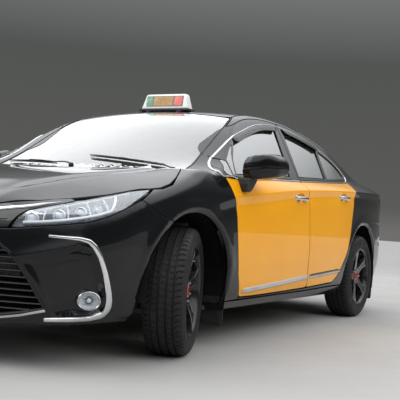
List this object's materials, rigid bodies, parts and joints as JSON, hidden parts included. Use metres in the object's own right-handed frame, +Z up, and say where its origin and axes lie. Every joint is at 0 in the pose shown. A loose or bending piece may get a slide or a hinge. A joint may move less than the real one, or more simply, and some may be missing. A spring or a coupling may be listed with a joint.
{
  "type": "saloon taxi cab",
  "caption": "Compact black saloon taxi with yellow doors, blank roof sign, opening doors, bonnet and boot lid, and steered front wheels.",
  "frame": {"origin": "on the floor under the middle of the car's bounding box", "axes": "+Z up, the car faces -Y, +X is the car's left side"},
  "size_m": [2.1, 4.6298, 1.5149],
  "materials": {
    "black_paint": "gloss",
    "yellow_paint": "gloss",
    "window_glass": "polished",
    "lamp_glass": "polished",
    "tail_lens": "gloss",
    "chrome_trim": "polished",
    "black_trim": "satin",
    "gloss_black_trim": "gloss",
    "tyre_rubber": "matte",
    "wheel_black": "gloss",
    "cast_steel": "rough",
    "bare_steel": "satin",
    "caliper_red": "gloss",
    "cabin_plastic": "matte",
    "seat_cloth": "woven",
    "sign_white": "satin",
    "plate_white": "satin"
  },
  "bodies": {
    "root": {"front_bumper": "black_paint", "rear_bumper": "black_paint", "front_fenders": "black_paint", "body_frame": "black_paint", "roof_panel": "black_paint", "headlamps": "lamp_glass", "tail_lamps": "tail_lens", "fog_lamps": "lamp_glass", "grille": "gloss_black_trim", "windscreen": "window_glass", "rear_window": "window_glass", "arch_liners": "black_trim", "mud_flaps": "black_trim", "floor_pan": "black_trim", "engine": "cast_steel", "chassis_rails": "bare_steel", "front_suspension": "cast_steel", "rear_axle": "cast_steel", "exhaust": "bare_steel", "fuel_tank": "black_trim", "rear_calipers": "caliper_red", "dashboard": "cabin_plastic", "centre_console": "cabin_plastic", "front_seats": "seat_cloth", "rear_seat": "seat_cloth", "sign_base": "black_trim", "taxi_sign": "sign_white", "number_plates": "plate_white"},
    "bonnet": {"bonnet": "black_paint"},
    "boot_lid": {"boot_lid": "black_paint"},
    "steering_wheel": {"steering_wheel": "cabin_plastic"},
    "door_front_left": {"door_front_left": "yellow_paint", "door_glass_front_left": "window_glass", "door_handle_front_left": "chrome_trim", "mirror_left": "gloss_black_trim"},
    "door_rear_left": {"door_rear_left": "yellow_paint", "door_glass_rear_left": "window_glass", "door_handle_rear_left": "chrome_trim"},
    "knuckle_front_left": {"knuckle_front_left": "cast_steel"},
    "wheel_front_left": {"tyre_front_left": "tyre_rubber", "rim_front_left": "wheel_black"},
    "wheel_rear_left": {"tyre_rear_left": "tyre_rubber", "rim_rear_left": "wheel_black"},
    "door_front_right": {"door_front_right": "yellow_paint", "door_glass_front_right": "window_glass", "door_handle_front_right": "chrome_trim", "mirror_right": "gloss_black_trim"},
    "door_rear_right": {"door_rear_right": "yellow_paint", "door_glass_rear_right": "window_glass", "door_handle_rear_right": "chrome_trim"},
    "knuckle_front_right": {"knuckle_front_right": "cast_steel"},
    "wheel_front_right": {"tyre_front_right": "tyre_rubber", "rim_front_right": "wheel_black"},
    "wheel_rear_right": {"tyre_rear_right": "tyre_rubber", "rim_rear_right": "wheel_black"}
  },
  "joints": [
    {"name": "steer_left", "type": "hinge", "parent": "root", "child": "knuckle_front_left", "pos_m": [0.7, -1.375, 0.316], "axis": [0, 0, 1], "range_deg": [-56, 16]},
    {"name": "steer_right", "type": "hinge", "parent": "root", "child": "knuckle_front_right", "pos_m": [-0.7, -1.375, 0.316], "axis": [0, 0, 1], "range_deg": [-56, 16]},
    {"name": "steering_wheel_turn", "type": "hinge", "parent": "root", "child": "steering_wheel", "pos_m": [0.37, -0.505, 0.872], "axis": [0, 0.9135, 0.4067], "range_deg": [-784, 224]},
    {"name": "spin_front_left", "type": "hinge", "parent": "knuckle_front_left", "child": "wheel_front_left", "pos_m": [0.76155, -1.3526, 0.316], "axis": [0.9397, 0.342, 0], "continuous": true},
    {"name": "spin_front_right", "type": "hinge", "parent": "knuckle_front_right", "child": "wheel_front_right", "pos_m": [-0.76155, -1.3974, 0.316], "axis": [0.9397, 0.342, 0], "continuous": true},
    {"name": "spin_rear_left", "type": "hinge", "parent": "root", "child": "wheel_rear_left", "pos_m": [0.772, 1.325, 0.316], "axis": [1, 0, 0], "continuous": true},
    {"name": "spin_rear_right", "type": "hinge", "parent": "root", "child": "wheel_rear_right", "pos_m": [-0.772, 1.325, 0.316], "axis": [1, 0, 0], "continuous": true},
    {"name": "bonnet_lift", "type": "hinge", "parent": "root", "child": "bonnet", "pos_m": [0, -1.242, 0.934], "axis": [-1, 0, 0], "range_deg": [0, 50]},
    {"name": "boot_lift", "type": "hinge", "parent": "root", "child": "boot_lid", "pos_m": [0, 1.688, 1.086], "axis": [1, 0, 0], "range_deg": [0, 75]},
    {"name": "door_front_left_swing", "type": "hinge", "parent": "root", "child": "door_front_left", "pos_m": [0.8935, -0.959, 0.6], "axis": [0, 0, -1], "range_deg": [0, 68]},
    {"name": "door_rear_left_swing", "type": "hinge", "parent": "root", "child": "door_rear_left", "pos_m": [0.8935, 0.098, 0.6], "axis": [0, 0, -1], "range_deg": [0, 68]},
    {"name": "door_front_right_swing", "type": "hinge", "parent": "root", "child": "door_front_right", "pos_m": [-0.8935, -0.959, 0.6], "axis": [0, 0, 1], "range_deg": [0, 68]},
    {"name": "door_rear_right_swing", "type": "hinge", "parent": "root", "child": "door_rear_right", "pos_m": [-0.8935, 0.098, 0.6], "axis": [0, 0, 1], "range_deg": [0, 68]}
  ],
  "couplings": [
    {"joint": "steer_right", "follows": "steer_left", "ratio": 1},
    {"joint": "steering_wheel_turn", "follows": "steer_left", "ratio": 14}
  ]
}
